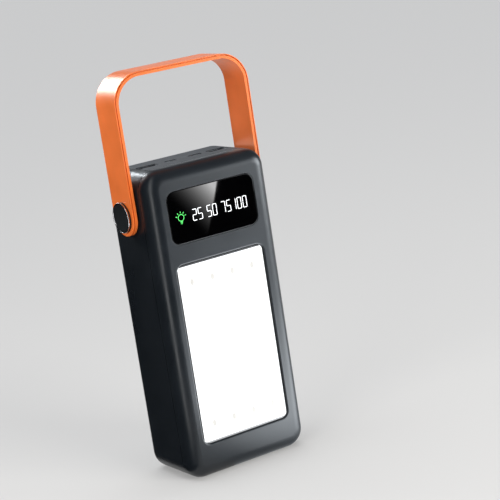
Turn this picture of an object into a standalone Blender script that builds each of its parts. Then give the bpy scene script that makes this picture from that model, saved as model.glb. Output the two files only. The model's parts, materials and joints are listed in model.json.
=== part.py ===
"""Power bank with a lamp panel, a charge display, four sockets on top and a swinging carry handle.

Metres, +Z up. The origin is the centre of the base; the lamp faces -Y and the sockets face +Z.
Each physical piece is one named object. Pieces that touch keep a 0.3 mm gap.
"""

import math

import bmesh
import bpy
from mathutils import Matrix, Vector

# Driving sizes
BODY_W = 0.085
BODY_D = 0.050
BODY_H = 0.190
CORNER_R = 0.0115
FRONT_FILLET = 0.0085
REAR_FILLET = 0.007
WALL = 0.0024
GAP = 0.0003
SEAM_Y = -0.015

DISPLAY_W, DISPLAY_H, DISPLAY_Z, DISPLAY_R = 0.061, 0.0318, 0.1604, 0.0055
LAMP_W, LAMP_H, LAMP_Z, LAMP_R = 0.0614, 0.1108, 0.0766, 0.005
LED_COLUMNS, LED_ROWS, LED_PITCH_X, LED_PITCH_Z = 4, 5, 0.0143, 0.022

PIVOT_Z = 0.1638
HANDLE_TOP = 0.248
HANDLE_BAND = 0.023
HANDLE_T = 0.0028
HANDLE_CLEARANCE = 0.0014
HANDLE_CORNER_R = 0.0185
PIVOT_R = 0.004
CAP_R = 0.0093

PORT_Y = 0.0011
PORT_TOP = BODY_H - 0.0004
USB_A_X, SMALL_PORT_X = 0.0249, 0.0086

CELL_R, CELL_L = 0.0092, 0.065
CELL_PITCH = 0.0187
CELL_LAYERS_Y = (-0.0057, 0.0129)
BUTTON_Z = 0.1455
BUTTON_TRAVEL = 0.0008

# Sizes that follow
HALF_W, HALF_D = BODY_W / 2, BODY_D / 2
INNER_X = HALF_W - WALL
FRONT_INNER_Y = -HALF_D + WALL
REAR_INNER_Y = HALF_D - WALL
HANDLE_IN_X = HALF_W + HANDLE_CLEARANCE
HANDLE_OUT_X = HANDLE_IN_X + HANDLE_T
BOARD_FRONT_Y = PORT_Y + 0.0032
BOARD_T = 0.0016
BOARD_HALF_X = 0.0345

AXES = {"X": 0, "Y": 1, "Z": 2}
MATERIALS = {
    "case_plastic": ((0.045, 0.051, 0.060), 0.42, 0.0),
    "port_plate_plastic": ((0.060, 0.066, 0.075), 0.5, 0.0),
    "handle_plastic": ((0.86, 0.22, 0.035), 0.38, 0.0),
    "cap_plastic": ((0.03, 0.034, 0.04), 0.35, 0.0),
    "chrome": ((0.75, 0.76, 0.78), 0.12, 1.0),
    "lens": ((0.004, 0.004, 0.005), 0.05, 0.0),
    "lamp_white": ((0.92, 0.93, 0.95), 0.4, 0.0),
    "circuit_board": ((0.02, 0.16, 0.07), 0.5, 0.0),
    "white_plastic": ((0.85, 0.85, 0.84), 0.5, 0.0),
    "black_plastic": ((0.02, 0.02, 0.022), 0.45, 0.0),
    "steel": ((0.55, 0.56, 0.58), 0.3, 1.0),
    "nickel": ((0.6, 0.58, 0.53), 0.3, 1.0),
    "cell_sleeve": ((0.05, 0.22, 0.5), 0.4, 0.0),
    "wire_red": ((0.6, 0.02, 0.02), 0.5, 0.0),
    "wire_black": ((0.02, 0.02, 0.02), 0.5, 0.0),
}


def clear_scene():
    for obj in list(bpy.data.objects):
        bpy.data.objects.remove(obj, do_unlink=True)


def make_collection(name):
    collection = bpy.data.collections.new(name)
    bpy.context.scene.collection.children.link(collection)
    return collection


def material(name):
    found = bpy.data.materials.get(name)
    if found:
        return found
    colour, roughness, metallic = MATERIALS[name]
    made = bpy.data.materials.new(name)
    made.use_nodes = True
    shader = made.node_tree.nodes["Principled BSDF"]
    shader.inputs["Base Color"].default_value = (*colour, 1.0)
    shader.inputs["Roughness"].default_value = roughness
    shader.inputs["Metallic"].default_value = metallic
    return made


# Shapes. Each returns an object that is not yet a piece or a cutter.
def from_bmesh(bm, name, centre=(0, 0, 0)):
    mesh = bpy.data.meshes.new(name)
    bm.to_mesh(mesh)
    bm.free()
    obj = bpy.data.objects.new(name, mesh)
    obj.location = centre
    return obj


def edges_along(bm, axis):
    """The edges that run along one axis."""
    other = [i for i in range(3) if i != AXES[axis]]
    return [e for e in bm.edges if all(abs((e.verts[0].co - e.verts[1].co)[i]) < 1e-7 for i in other)]


def block_mesh(size, radius=0.0, along="Y", segments=5):
    """A bmesh box, its four edges along one axis rounded."""
    bm = bmesh.new()
    bmesh.ops.create_cube(bm, size=1.0)
    bmesh.ops.scale(bm, vec=size, verts=bm.verts)
    if radius:
        bmesh.ops.bevel(
            bm, geom=edges_along(bm, along), offset=radius, segments=segments, profile=0.5, affect="EDGES"
        )
    return bm


def block(name, size, centre, radius=0.0, along="Y", segments=5):
    return from_bmesh(block_mesh(size, radius, along, segments), name, centre)


def rod(name, radius, length, centre, along="Y", sides=24):
    """A cylinder about an axis through centre."""
    turn = {"X": Matrix.Rotation(math.pi / 2, 4, "Y"), "Y": Matrix.Rotation(math.pi / 2, 4, "X"), "Z": Matrix()}
    bm = bmesh.new()
    bmesh.ops.create_cone(
        bm, cap_ends=True, segments=sides, radius1=radius, radius2=radius, depth=length, matrix=turn[along]
    )
    return from_bmesh(bm, name, centre)


def turned(name, profile, centre, sides=32):
    """A solid turned about X. The profile is (x, radius) pairs from one end to the other."""
    bm = bmesh.new()
    points = [bm.verts.new((x, 0, radius)) for x, radius in profile]
    for a, b in zip(points, points[1:]):
        bm.edges.new((a, b))
    bmesh.ops.spin(
        bm,
        geom=bm.verts[:] + bm.edges[:],
        cent=(0, 0, 0),
        axis=(1, 0, 0),
        angle=2 * math.pi,
        steps=sides,
        use_merge=True,
    )
    bmesh.ops.remove_doubles(bm, verts=bm.verts, dist=1e-6)
    bmesh.ops.recalc_face_normals(bm, faces=bm.faces)
    return from_bmesh(bm, name, centre)


def half_shell(name, open_y, end_y, fillet):
    """One half of the case: a box open at open_y, with its outline corners and its closed rim rounded."""
    bm = block_mesh((BODY_W, abs(end_y - open_y), BODY_H), CORNER_R, "Y", segments=6)
    centre = Vector((0, (open_y + end_y) / 2, BODY_H / 2))
    bmesh.ops.translate(bm, vec=centre, verts=bm.verts)
    open_face = [f for f in bm.faces if all(abs(v.co.y - open_y) < 1e-6 for v in f.verts)]
    bmesh.ops.delete(bm, geom=open_face, context="FACES_ONLY")
    rim = [e for e in bm.edges if all(abs(v.co.y - end_y) < 1e-6 for v in e.verts)]
    bmesh.ops.bevel(bm, geom=rim, offset=fillet, segments=5, profile=0.5, affect="EDGES")
    obj = from_bmesh(bm, name)
    solidify = obj.modifiers.new("wall", "SOLIDIFY")
    solidify.thickness = WALL
    solidify.offset = -1
    solidify.use_even_offset = True
    return obj


def wire(name, radius, points):
    """A round wire on a smooth curve through the points."""
    route = [Vector(p) for p in points]
    ends = [2 * route[0] - route[1], *route, 2 * route[-1] - route[-2]]
    smooth = []
    for before, start, end, after in zip(ends, ends[1:], ends[2:], ends[3:]):
        for step in range(4):
            t = step / 4
            smooth.append(
                0.5
                * (
                    2 * start
                    + (end - before) * t
                    + (2 * before - 5 * start + 4 * end - after) * t * t
                    + (3 * start - before - 3 * end + after) * t**3
                )
            )
    smooth.append(route[-1])
    curve = bpy.data.curves.new(name, "CURVE")
    curve.dimensions = "3D"
    curve.bevel_depth = radius
    curve.bevel_resolution = 2
    curve.use_fill_caps = True
    spline = curve.splines.new("POLY")
    spline.points.add(len(smooth) - 1)
    for point, place in zip(spline.points, smooth):
        point.co = (*place, 1.0)
    return bpy.data.objects.new(name, curve)


# What becomes of a shape
def piece(obj, material_name, smooth=True):
    """Keeps the shape as a piece of the power bank."""
    PARTS.objects.link(obj)
    obj.data.materials.append(material(material_name))
    if smooth and obj.type == "MESH":
        obj.data.shade_smooth()
        obj.data.set_sharp_from_angle(angle=math.radians(35))
    return obj


def boolean(target, operation, *tools):
    """Cuts the tools from the target, or joins them to it."""
    for tool in tools:
        HELPERS.objects.link(tool)
        tool.hide_render = True
        tool.display_type = "WIRE"
        modifier = target.modifiers.new(tool.name, "BOOLEAN")
        modifier.operation = operation
        modifier.object = tool
        modifier.solver = "EXACT"


def cut(target, *tools):
    boolean(target, "DIFFERENCE", *tools)


def join(target, *tools):
    boolean(target, "UNION", *tools)


# Case
LAMP_POST_X, LAMP_POST_Z = 0.0356, (0.031, 0.122)
BOARD_POST_X, BOARD_POST_Z = 0.030, 0.1535
LAMP_BOARD_Y = -0.0167
LAMP_BOARD_T = 0.001
LENS_T = 0.0013
SCREW_HOLE_R, SCREW_R = 0.0011, 0.0008
BUTTON_W, BUTTON_H = 0.013, 0.0054
PLATE_W, PLATE_T = 0.0648, 0.0012
LEDGE_SIDE, LEDGE_END = 0.0005, 0.004
PLATE_Y0, PLATE_Y1 = -0.0123, 0.0171
PLATE_Y, PLATE_D = (PLATE_Y0 + PLATE_Y1) / 2, PLATE_Y1 - PLATE_Y0


def flared_cutter(name, width, height, centre, depth, radius, flare):
    """A window cutter whose front end is wider by flare on each side."""
    bm = block_mesh((width, depth, height), radius, "Y")
    for vert in bm.verts:
        if vert.co.y < 0:
            vert.co.x *= (width + 2 * flare) / width
            vert.co.z *= (height + 2 * flare) / height
    return from_bmesh(bm, name, centre)


def make_front_cover():
    cover = half_shell("front_cover", SEAM_Y - GAP / 2, -HALF_D, FRONT_FILLET)
    recess_y = -HALF_D + LENS_T + GAP
    step = 0.004
    cut(
        cover,
        block(
            "cut_lens_recess",
            (DISPLAY_W + 2 * GAP, step, DISPLAY_H + 2 * GAP),
            (0, recess_y - step / 2, DISPLAY_Z),
            DISPLAY_R,
        ),
        block(
            "cut_lens_window",
            (DISPLAY_W - 0.005, 0.01, DISPLAY_H - 0.005),
            (0, -HALF_D, DISPLAY_Z),
            DISPLAY_R - 0.002,
        ),
        block("cut_lamp_window", (LAMP_W + 2 * GAP, 0.01, LAMP_H + 2 * GAP), (0, -HALF_D, LAMP_Z), LAMP_R),
        flared_cutter(
            "cut_lamp_lip", LAMP_W + 2 * GAP, LAMP_H + 2 * GAP, (0, -HALF_D, LAMP_Z), 0.0018, LAMP_R, 0.0011
        ),
    )
    post_y0, post_y1 = -0.0231, LAMP_BOARD_Y - GAP
    for side in (-1, 1):
        for level, z in enumerate(LAMP_POST_Z):
            where = (side * LAMP_POST_X, (post_y0 + post_y1) / 2, z)
            label = f"{'left' if side < 0 else 'right'}_{level}"
            join(cover, rod(f"join_lamp_post_{label}", 0.0024, post_y1 - post_y0, where, "Y", 16))
            where = (side * LAMP_POST_X, post_y1, z)
            cut(cover, rod(f"cut_lamp_post_{label}", SCREW_HOLE_R, 0.009, where, "Y", 12))
    return piece(cover, "case_plastic")


def lip_ring(name, outer, inner, y0, y1):
    """A rectangular ring with rounded corners that follows the case outline, inset by outer and inner."""
    def outline(tag, inset, extra):
        size = (BODY_W - 2 * inset, y1 - y0 + extra, BODY_H - 2 * inset)
        return block(name + tag, size, (0, (y0 + y1) / 2, BODY_H / 2), CORNER_R - inset, "Y", 6)

    ring = outline("", outer, 0)
    cut(ring, outline("_hole", inner, 0.002))
    return ring


def make_rear_shell():
    shell = half_shell("rear_shell", SEAM_Y + GAP / 2, HALF_D, REAR_FILLET)
    lip_inner = 0.0039
    join(
        shell,
        lip_ring("join_lip_root", WALL - 0.0006, lip_inner + 0.0002, -0.0125, -0.0105),
        lip_ring("join_lip", WALL + GAP, lip_inner, -0.0173, -0.0115),
    )
    boss_in, boss_out = 0.0361, INNER_X + 0.001
    for side, label in ((-1, "left"), (1, "right")):
        middle = side * (boss_in + boss_out) / 2
        join(shell, rod(f"join_pivot_boss_{label}", 0.006, boss_out - boss_in, (middle, 0, PIVOT_Z), "X", 24))
        hole = (side * HALF_W, 0, PIVOT_Z)
        cut(shell, rod(f"cut_pivot_hole_{label}", 0.0022, 0.02, hole, "X", 20))
        post_y0, post_y1 = BOARD_FRONT_Y + BOARD_T + GAP, REAR_INNER_Y + 0.001
        post = (side * BOARD_POST_X, (post_y0 + post_y1) / 2, BOARD_POST_Z)
        join(shell, rod(f"join_board_post_{label}", 0.003, post_y1 - post_y0, post, "Y", 16))
        hole = (side * BOARD_POST_X, post_y0, BOARD_POST_Z)
        cut(shell, rod(f"cut_board_post_{label}", SCREW_HOLE_R, 0.022, hole, "Y", 12))
    recess = 0.004
    cut(
        shell,
        block(
            "cut_plate_recess",
            (PLATE_W + 2 * GAP, PLATE_D + 2 * GAP, recess),
            (0, PLATE_Y, BODY_H - PLATE_T - GAP + recess / 2),
            0.003,
            "Z",
        ),
        block(
            "cut_plate_window",
            (PLATE_W - 2 * LEDGE_SIDE, PLATE_D - 2 * LEDGE_END, 0.01),
            (0, PLATE_Y, BODY_H),
            0.002,
            "Z",
        ),
        block(
            "cut_button_hole",
            (0.012, BUTTON_W + 2 * GAP, BUTTON_H + 2 * GAP),
            (HALF_W, PORT_Y, BUTTON_Z),
            BUTTON_H / 2,
            "X",
        ),
    )
    return piece(shell, "case_plastic")


def make_port_plate():
    plate = block(
        "port_plate", (PLATE_W, PLATE_D, PLATE_T), (0, PLATE_Y, BODY_H - PLATE_T / 2), 0.003, "Z"
    )
    for side, label in ((-1, "left"), (1, "right")):
        cut(
            plate,
            block(f"cut_usb_a_{label}", (0.0137, 0.0063, 0.01), (side * USB_A_X, PORT_Y, BODY_H), 0.0006, "Z", 2),
        )
    cut(plate, block("cut_usb_c", (0.0096, 0.0039, 0.01), (SMALL_PORT_X, PORT_Y, BODY_H), 0.0019, "Z", 4))
    cut(plate, block("cut_micro_usb", (0.0081, 0.0034, 0.01), (-SMALL_PORT_X, PORT_Y, BODY_H), 0.0008, "Z", 2))
    return piece(plate, "port_plate_plastic")


# Display
def make_display():
    lens_y = -HALF_D + LENS_T / 2
    piece(block("display_lens", (DISPLAY_W, LENS_T, DISPLAY_H), (0, lens_y, DISPLAY_Z), DISPLAY_R), "lens")
    box_t = 0.0036
    box_y = FRONT_INNER_Y + GAP + box_t / 2
    light_box = block("display_light_box", (0.054, box_t, 0.024), (0, box_y, DISPLAY_Z), 0.002, "Y", 3)
    windows = ((-0.0222, 0.008), (-0.0108, 0.010), (-0.0008, 0.010), (0.0092, 0.010), (0.0205, 0.011))
    for number, (x, width) in enumerate(windows):
        window = (x, box_y, DISPLAY_Z + 0.002)
        cut(light_box, block(f"cut_display_window_{number}", (width - 0.001, 0.01, 0.009), window))
    piece(light_box, "black_plastic")
    board_y = box_y + box_t / 2 + GAP + 0.0006
    piece(block("display_board", (0.062, 0.0012, 0.031), (0, board_y, DISPLAY_Z), 0.001, "Y", 2), "circuit_board")


# Lamp
def led_places():
    """(x, z) of each light chip on the lamp board."""
    for row in range(LED_ROWS):
        for column in range(LED_COLUMNS):
            x = (column - (LED_COLUMNS - 1) / 2) * LED_PITCH_X
            z = LAMP_Z + ((LED_ROWS - 1) / 2 - row) * LED_PITCH_Z
            yield x, z


def make_lamp():
    flange_w, flange_h, flange_t = 0.065, 0.1146, 0.001
    face_y = -HALF_D + 0.0006
    flange_y = FRONT_INNER_Y + GAP + flange_t / 2
    face_t = flange_y - face_y
    face = (0, face_y + face_t / 2, LAMP_Z)
    diffuser = block("lamp_diffuser", (LAMP_W, face_t, LAMP_H), face, LAMP_R - GAP, "Y", 6)
    flange = block("join_lamp_flange", (flange_w, flange_t, flange_h), (0, flange_y, LAMP_Z), 0.003, "Y", 3)
    join(diffuser, flange)
    piece(diffuser, "lamp_white")

    frame_y0, frame_y1 = flange_y + flange_t / 2 + GAP, LAMP_BOARD_Y - GAP
    frame_y = (frame_y0 + frame_y1) / 2
    reflector = block(
        "lamp_reflector", (flange_w, frame_y1 - frame_y0, flange_h), (0, frame_y, LAMP_Z), 0.003, "Y", 3
    )
    inside = (flange_w - 0.003, 0.01, flange_h - 0.003)
    cut(reflector, block("cut_reflector", inside, (0, frame_y, LAMP_Z), 0.002, "Y", 3))
    piece(reflector, "white_plastic")

    board_y = LAMP_BOARD_Y + LAMP_BOARD_T / 2
    board = block("lamp_board", (0.0758, LAMP_BOARD_T, flange_h), (0, board_y, LAMP_Z), 0.002, "Y", 2)
    chip_t = 0.001
    for number, (x, z) in enumerate(led_places()):
        join(board, block(f"join_led_{number:02d}", (0.0028, chip_t, 0.0035), (x, LAMP_BOARD_Y - 0.0003, z)))
    for side, label in ((-1, "left"), (1, "right")):
        for level, z in enumerate(LAMP_POST_Z):
            name = f"{label}_{'lower' if level == 0 else 'upper'}"
            where = (side * LAMP_POST_X, board_y, z)
            cut(board, rod(f"cut_lamp_board_{name}", SCREW_HOLE_R + 0.0001, 0.004, where, "Y", 12))
            make_screw(f"lamp_screw_{name}", (where[0], LAMP_BOARD_Y + LAMP_BOARD_T + GAP, z), -1)
    piece(board, "circuit_board")


def make_screw(name, under_head, direction):
    """A small pan-head screw along Y. The direction is the way its shank points."""
    head_t, shank = 0.0011, 0.0052
    x, y, z = under_head
    screw = rod(name, 0.0021, head_t, (x, y - direction * head_t / 2, z), "Y", 14)
    reach = shank + head_t / 2
    centre = (x, y - direction * head_t / 2 + direction * reach / 2, z)
    join(screw, rod("join_" + name, SCREW_R, reach, centre, "Y", 10))
    slot = (x, y - direction * head_t, z)
    cut(screw, block("cut_" + name, (0.0026, 0.0008, 0.0005), slot))
    piece(screw, "steel")


# Handle and its pivots
def make_handle():
    """A flat band bent to a U about Y, its two ends rounded about the pivot."""
    leg = HANDLE_TOP - PIVOT_Z + HANDLE_BAND
    height_centre = HANDLE_TOP - leg / 2
    outer = block_mesh((2 * HANDLE_OUT_X, HANDLE_BAND, leg))
    inner_size = (2 * HANDLE_IN_X, HANDLE_BAND * 2, leg)
    inner = block_mesh(inner_size)
    for bm, radius in ((outer, HANDLE_CORNER_R), (inner, HANDLE_CORNER_R - HANDLE_T)):
        top = [e for e in edges_along(bm, "Y") if all(v.co.z > 0 for v in e.verts)]
        bmesh.ops.bevel(bm, geom=top, offset=radius, segments=9, profile=0.5, affect="EDGES")
    handle = from_bmesh(outer, "handle", (0, 0, height_centre))
    cut(handle, from_bmesh(inner, "cut_handle_inside", (0, 0, height_centre - HANDLE_T)))

    silhouette = block_mesh((0.12, HANDLE_BAND, leg + 0.01))
    low = [e for e in edges_along(silhouette, "X") if all(v.co.z < 0 for v in e.verts)]
    radius = HANDLE_BAND / 2 - 0.00001
    bmesh.ops.bevel(silhouette, geom=low, offset=radius, segments=9, profile=0.5, affect="EDGES")
    bottom = PIVOT_Z - HANDLE_BAND / 2
    side_view = from_bmesh(silhouette, "keep_handle_side", (0, 0, bottom + (leg + 0.01) / 2))
    boolean(handle, "INTERSECT", side_view)
    cut(handle, rod("cut_handle_eyes", PIVOT_R + 0.00012, 0.2, (0, 0, PIVOT_Z), "X", 32))
    bevel = handle.modifiers.new("edge", "BEVEL")
    bevel.width = 0.0005
    bevel.segments = 2
    bevel.limit_method = "ANGLE"
    bevel.angle_limit = math.radians(50)
    return piece(handle, "handle_plastic")


def make_pivot(side, label):
    """Shoulder screw, friction washer, cap and trim ring of one pivot. Their profiles run outwards."""
    def outwards(name, profile, material_name, sides=32):
        placed = [(side * x, radius) for x, radius in profile]
        piece(turned(f"{name}_{label}", placed, (0, 0, PIVOT_Z), sides), material_name)

    seat = HALF_W + GAP
    head0 = HANDLE_OUT_X + GAP
    head1 = head0 + 0.001
    thread_end = 0.0359
    shank = 0.0019
    outwards(
        "pivot_screw",
        [(thread_end, 0), (thread_end, shank - 0.0005), (thread_end + 0.0008, shank), (seat, shank)]
        + [(seat, PIVOT_R), (head0, PIVOT_R), (head0, 0.0066), (head1, 0.0066), (head1, 0)],
        "steel",
    )
    washer_in, washer_out = PIVOT_R + GAP, 0.008
    washer0, washer1 = seat, HANDLE_IN_X - GAP
    outwards(
        "pivot_washer",
        [(washer0, washer_in), (washer0, washer_out), (washer1, washer_out), (washer1, washer_in)]
        + [(washer0, washer_in)],
        "black_plastic",
    )
    face = head1 + GAP + 0.0006
    hollow_r = 0.0066 + GAP
    ring_seat = CAP_R - 0.0009
    outwards(
        "pivot_cap",
        [(head1 + GAP, 0), (head1 + GAP, hollow_r), (head0, hollow_r), (head0, CAP_R), (head0 + 0.0005, CAP_R)]
        + [(head0 + 0.0005, ring_seat), (face - 0.0002, ring_seat), (face, ring_seat - 0.0002), (face, 0)],
        "cap_plastic",
        40,
    )
    ring_in = ring_seat + 0.0002
    ring0, ring1 = head0 + 0.0005 + GAP, face + 0.0001
    outwards(
        "pivot_ring",
        [(ring0, ring_in), (ring0, CAP_R), (ring1 - 0.0003, CAP_R), (ring1, CAP_R - 0.0003), (ring1, ring_in)]
        + [(ring0, ring_in)],
        "chrome",
        40,
    )


# Sockets and the main board
def make_usb_a(side, label):
    width, depth, length, wall = 0.0131, 0.0057, 0.014, 0.0004
    x = side * USB_A_X
    shell = block(f"usb_a_shell_{label}", (width, depth, length), (x, PORT_Y, PORT_TOP - length / 2))
    mouth = (x, PORT_Y, PORT_TOP - length / 2 + wall)
    cut(shell, block(f"cut_usb_a_shell_{label}", (width - 2 * wall, depth - 2 * wall, length), mouth))
    piece(shell, "steel", smooth=False)
    tongue_l = 0.0118
    tongue = (x, PORT_Y + 0.001, PORT_TOP - length + wall + GAP + tongue_l / 2)
    piece(block(f"usb_a_tongue_{label}", (0.0111, 0.0019, tongue_l), tongue), "white_plastic", smooth=False)


def make_small_socket(name, x, width, depth, length, radius, tongue_size):
    """A small socket: a thin rounded shell closed at its lower end, its tongue, and two solder feet."""
    wall = 0.0003
    shell = block(name, (width, depth, length), (x, PORT_Y, PORT_TOP - length / 2), radius, "Z", 4)
    mouth = (x, PORT_Y, PORT_TOP - length / 2 + 2 * wall)
    hollow = (width - 2 * wall, depth - 2 * wall, length)
    cut(shell, block(f"cut_{name}", hollow, mouth, radius - wall, "Z", 4))
    tongue_z = PORT_TOP - length + wall + tongue_size[2] / 2
    join(shell, block(f"join_{name}_tongue", tongue_size, (x, PORT_Y, tongue_z)))
    foot_y0, foot_y1 = PORT_Y + depth / 2 - wall / 2, BOARD_FRONT_Y - GAP
    for foot in (-1, 1):
        where = (x + foot * (width / 2 - 0.0022), (foot_y0 + foot_y1) / 2, PORT_TOP - length / 2)
        join(shell, block(f"join_{name}_foot_{foot}", (0.001, foot_y1 - foot_y0, 0.002), where))
    piece(shell, "steel", smooth=False)


def make_main_board():
    z0, z1 = 0.139, 0.1855
    centre = (0, BOARD_FRONT_Y + BOARD_T / 2, (z0 + z1) / 2)
    board = block("main_board", (2 * BOARD_HALF_X, BOARD_T, z1 - z0), centre, 0.001, "Y", 2)
    for side, label in ((-1, "left"), (1, "right")):
        where = (side * BOARD_POST_X, BOARD_FRONT_Y, BOARD_POST_Z)
        cut(board, rod(f"cut_board_hole_{label}", SCREW_HOLE_R + 0.0001, 0.006, where, "Y", 12))
        make_screw(f"board_screw_{label}", (where[0], BOARD_FRONT_Y - GAP, BOARD_POST_Z), 1)
    piece(board, "circuit_board")

    def on_board(name, size, x, z, material_name, radius=0.0):
        centre = (x, BOARD_FRONT_Y - GAP - size[1] / 2, z)
        piece(block(name, size, centre, radius, "Y", 3), material_name)

    on_board("inductor", (0.0125, 0.0065, 0.0125), -0.012, 0.161, "black_plastic", 0.002)
    on_board("controller_chip", (0.0075, 0.0011, 0.0075), 0.003, 0.158, "black_plastic")
    for number, x in enumerate((0.0135, 0.0215)):
        can_r = 0.0031
        centre = (x, BOARD_FRONT_Y - GAP - can_r, 0.160)
        piece(rod(f"capacitor_{number + 1}", can_r, 0.011, centre, "Z", 20), "steel")


def make_button():
    """The pill button in the right side wall and the push switch behind it."""
    face_x = HALF_W + 0.0007
    flange_x0, flange_x1 = 0.0386, INNER_X - 0.0004
    stem_x = 0.0377
    switch_tip = stem_x - BUTTON_TRAVEL - GAP
    button = block(
        "power_button",
        (face_x - flange_x0 - 0.0002, BUTTON_W, BUTTON_H),
        ((face_x + flange_x0 + 0.0002) / 2, PORT_Y, BUTTON_Z),
        BUTTON_H / 2 - 0.0001,
        "X",
    )
    flange = block(
        "join_button_flange",
        (flange_x1 - flange_x0, BUTTON_W + 0.0022, BUTTON_H + 0.0022),
        ((flange_x0 + flange_x1) / 2, PORT_Y, BUTTON_Z),
        BUTTON_H / 2,
        "X",
    )
    stem = rod("join_button_stem", 0.0015, 0.002, (stem_x + 0.001, PORT_Y, BUTTON_Z), "X", 14)
    join(button, flange, stem)
    piece(button, "cap_plastic")

    body_x0, body_x1 = 0.0300, 0.0352
    body = ((body_x0 + body_x1) / 2, BOARD_FRONT_Y - GAP - 0.0021, BUTTON_Z)
    switch = block("button_switch", (body_x1 - body_x0, 0.0042, 0.006), body)
    plunger = ((body_x1 + switch_tip) / 2 - 0.0005, PORT_Y, BUTTON_Z)
    join(switch, rod("join_switch_plunger", 0.0011, switch_tip - body_x1 + 0.001, plunger, "X", 12))
    piece(switch, "black_plastic")


# Battery pack
NICKEL_T = 0.0003
CELL_ROWS_Z = (0.0066, 0.0066 + CELL_L + NICKEL_T + 2 * GAP)


def make_cells():
    number = 0
    for z0 in CELL_ROWS_Z:
        for y in CELL_LAYERS_Y:
            for column in range(4):
                number += 1
                centre = ((column - 1.5) * CELL_PITCH, y, z0 + CELL_L / 2)
                piece(rod(f"cell_{number:02d}", CELL_R, CELL_L, centre, "Z", 20), "cell_sleeve")
    middle_y = sum(CELL_LAYERS_Y) / 2
    levels = {
        "nickel_strip_bottom": CELL_ROWS_Z[0] - GAP - NICKEL_T / 2,
        "nickel_strip_middle": CELL_ROWS_Z[1] - GAP - NICKEL_T / 2,
        "nickel_strip_top": CELL_ROWS_Z[1] + CELL_L + GAP + NICKEL_T / 2,
    }
    for name, z in levels.items():
        piece(block(name, (0.068, 0.030, NICKEL_T), (0, middle_y, z)), "nickel")
    return levels["nickel_strip_top"] + NICKEL_T / 2


def make_wires(strip_top):
    board_back = BOARD_FRONT_Y + BOARD_T
    for name, x, colour in (
        ("battery_wire_positive", -0.021, "wire_red"),
        ("battery_wire_negative", -0.015, "wire_black"),
    ):
        start = strip_top + GAP
        route = [(x, 0.012, start), (x, 0.012, start + 0.004), (x, 0.0105, start + 0.0085)]
        route.append((x, board_back + GAP, start + 0.011))
        piece(wire(name, 0.0009, route), colour)
    lamp_top = LAMP_Z + 0.1146 / 2
    lamp_wire_y = LAMP_BOARD_Y + LAMP_BOARD_T / 2
    for name, x, colour in (("lamp_wire_positive", 0.008, "wire_red"), ("lamp_wire_negative", 0.012, "wire_black")):
        route = [(x, lamp_wire_y, lamp_top + GAP), (x, lamp_wire_y, lamp_top + 0.0035)]
        route += [(x, -0.012, 0.1405), (x, -0.003, 0.1425), (x, BOARD_FRONT_Y - GAP, 0.1425)]
        piece(wire(name, 0.0007, route), colour)


clear_scene()
PARTS = make_collection("power_bank")
HELPERS = make_collection("helpers")

make_front_cover()
make_rear_shell()
make_port_plate()
make_display()
make_lamp()
make_handle()
for pivot_side, pivot_label in ((-1, "left"), (1, "right")):
    make_pivot(pivot_side, pivot_label)
    make_usb_a(pivot_side, pivot_label)
make_small_socket("usb_c_socket", SMALL_PORT_X, 0.009, 0.0033, 0.0073, 0.0016, (0.0067, 0.0007, 0.0062))
make_small_socket("micro_usb_socket", -SMALL_PORT_X, 0.0075, 0.0028, 0.0056, 0.0006, (0.0048, 0.0006, 0.0046))
make_main_board()
make_button()
make_wires(make_cells())
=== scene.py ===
"""Builds a power bank with a lamp panel, a charge display, top sockets and a swinging carry handle.

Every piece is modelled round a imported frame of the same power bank, in metres, and keeps its place.
"""

import json
import math
from contextlib import contextmanager

import bpy
from mathutils import Matrix, Vector


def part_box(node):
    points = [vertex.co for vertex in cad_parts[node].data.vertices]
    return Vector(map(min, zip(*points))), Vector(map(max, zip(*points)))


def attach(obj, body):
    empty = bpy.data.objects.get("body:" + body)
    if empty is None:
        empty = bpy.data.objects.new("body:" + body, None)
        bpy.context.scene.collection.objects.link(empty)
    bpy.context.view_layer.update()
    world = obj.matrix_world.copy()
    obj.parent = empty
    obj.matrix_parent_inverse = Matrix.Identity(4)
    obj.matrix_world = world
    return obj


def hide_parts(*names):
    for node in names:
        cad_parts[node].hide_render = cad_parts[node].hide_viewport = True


bl_info = {
    "name": "Power bank",
    "version": (1, 0, 0),
    "blender": (4, 5, 0),
    "location": "View3D > Sidebar > Power bank",
    "description": "Models a power bank with a lamp, a charge display and a carry handle",
    "category": "Object",
}

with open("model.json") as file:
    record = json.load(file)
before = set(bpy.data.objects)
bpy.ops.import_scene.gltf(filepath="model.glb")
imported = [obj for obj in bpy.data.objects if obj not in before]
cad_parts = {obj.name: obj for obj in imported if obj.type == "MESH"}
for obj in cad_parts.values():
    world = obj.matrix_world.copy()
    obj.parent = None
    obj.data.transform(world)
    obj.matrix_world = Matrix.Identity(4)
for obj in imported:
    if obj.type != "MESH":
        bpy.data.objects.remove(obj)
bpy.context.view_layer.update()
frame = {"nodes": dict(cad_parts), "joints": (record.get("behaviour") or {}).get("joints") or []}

# Places taken from the frame
COVER_LOW, COVER_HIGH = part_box("front_cover")
SHELL_LOW, SHELL_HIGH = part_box("rear_shell")
LENS_LOW, LENS_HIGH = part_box("display_lens")
LAMP_LOW, LAMP_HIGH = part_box("lamp_diffuser")
HANDLE_LOW, HANDLE_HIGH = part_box("handle")
BUTTON_LOW, BUTTON_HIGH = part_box("power_button")
PIVOT = Vector(next(joint for joint in frame["joints"] if joint["name"] == "handle_swing")["pos_m"])
SIDES = {"left": -1, "right": 1}
FRONT_Y = COVER_LOW.y
LAMP_MIDDLE = (LAMP_LOW + LAMP_HIGH) / 2
CAMERA_AIM = Vector((0.0367, 0.0, 0.1237))

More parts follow.
